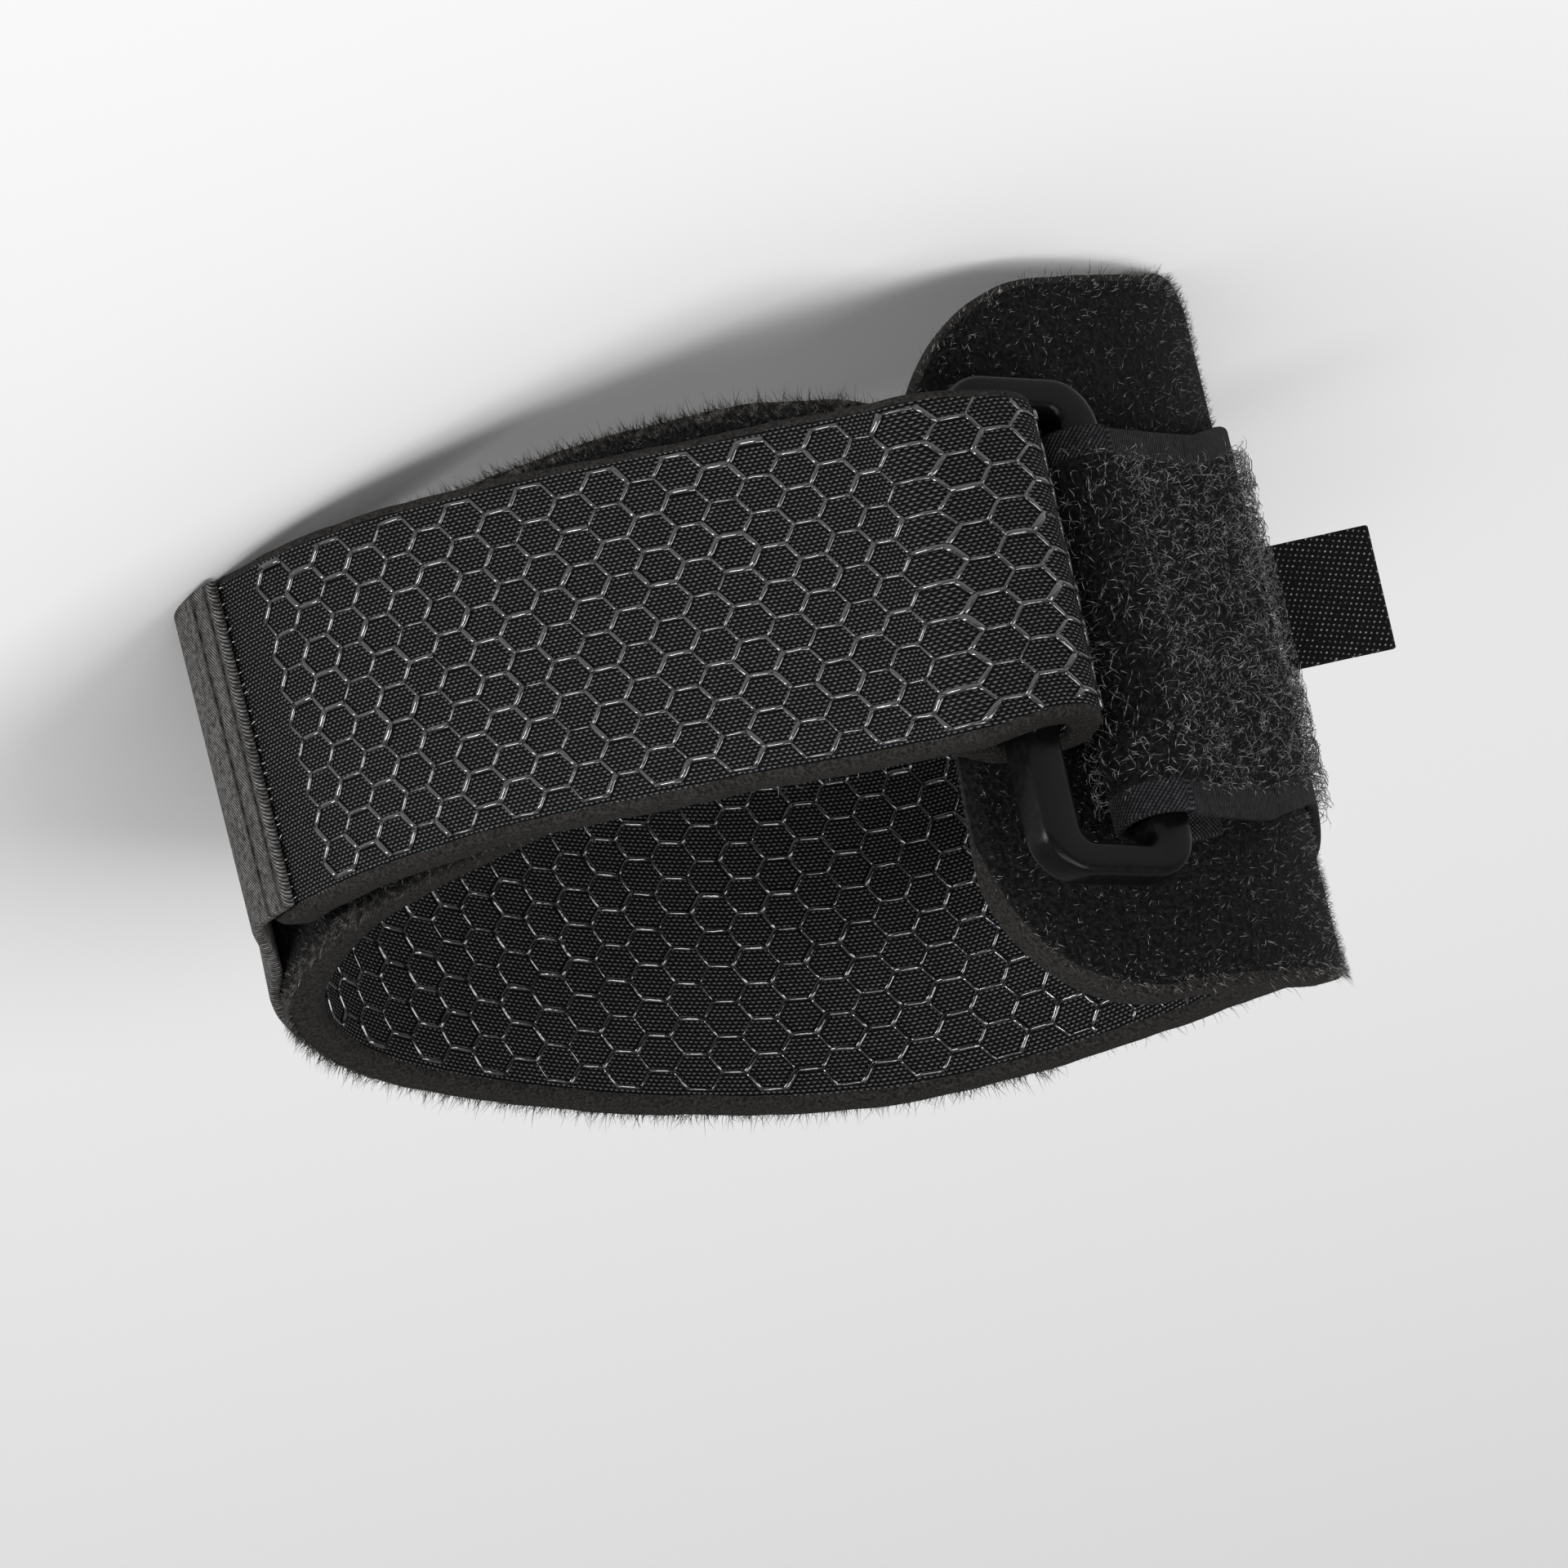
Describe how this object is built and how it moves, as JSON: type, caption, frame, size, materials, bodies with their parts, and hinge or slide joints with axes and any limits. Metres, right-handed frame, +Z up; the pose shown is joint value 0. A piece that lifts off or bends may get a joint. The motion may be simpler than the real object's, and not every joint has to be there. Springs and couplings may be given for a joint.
{
  "type": "tennis elbow strap",
  "caption": "Padded counterforce elbow strap closed in a loop, its narrow band passed through a ring on the wide pad and folded back to a hook tab.",
  "frame": {"origin": "centre of the strap's bounding box, on the surface that it stands on", "axes": "+Z up along the forearm's way through the loop, -Y towards the front layer, -X towards the pad and the label"},
  "size_m": [0.1084, 0.104, 0.0702],
  "materials": {
    "laminate": "matte",
    "ring_plastic": "satin",
    "loop_tape": "matte",
    "hook_tape": "matte",
    "label_tape": "matte"
  },
  "bodies": {
    "root": {"strap": "laminate", "ring": "ring_plastic", "ring_tab": "loop_tape", "hook_tab": "hook_tape", "label": "label_tape"}
  },
  "joints": []
}
